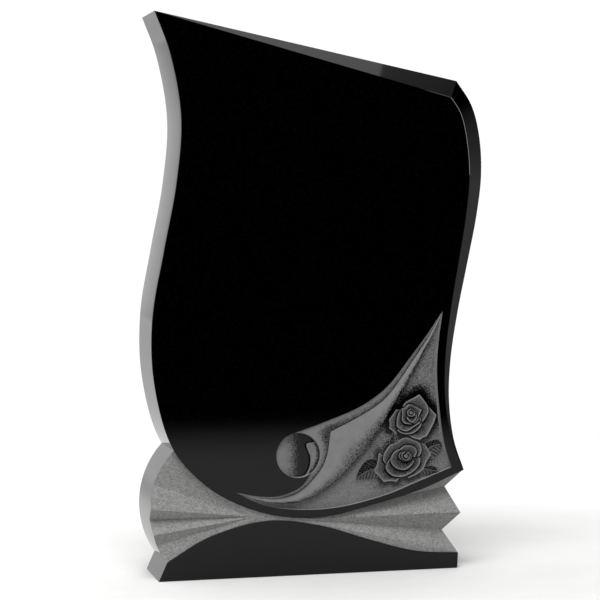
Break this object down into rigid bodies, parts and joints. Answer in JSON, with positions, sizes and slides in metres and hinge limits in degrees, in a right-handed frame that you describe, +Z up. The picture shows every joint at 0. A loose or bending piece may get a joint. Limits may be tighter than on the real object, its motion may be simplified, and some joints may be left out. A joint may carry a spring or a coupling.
{
  "type": "granite headstone",
  "caption": "Free-standing monolithic headstone with a sail-shaped chamfered tablet, carved scroll and rose corner, fluted fan band and low arched base.",
  "frame": {"origin": "middle of the underside's bounding box, on the ground", "axes": "+Z up, +X to the viewer's right along the front, +Y from the front into the stone"},
  "size_m": [0.6214, 0.131, 1],
  "materials": {
    "headstone": "polished black granite with honed grey sides and carving"
  },
  "bodies": {
    "root": {"headstone": "headstone"}
  },
  "joints": []
}
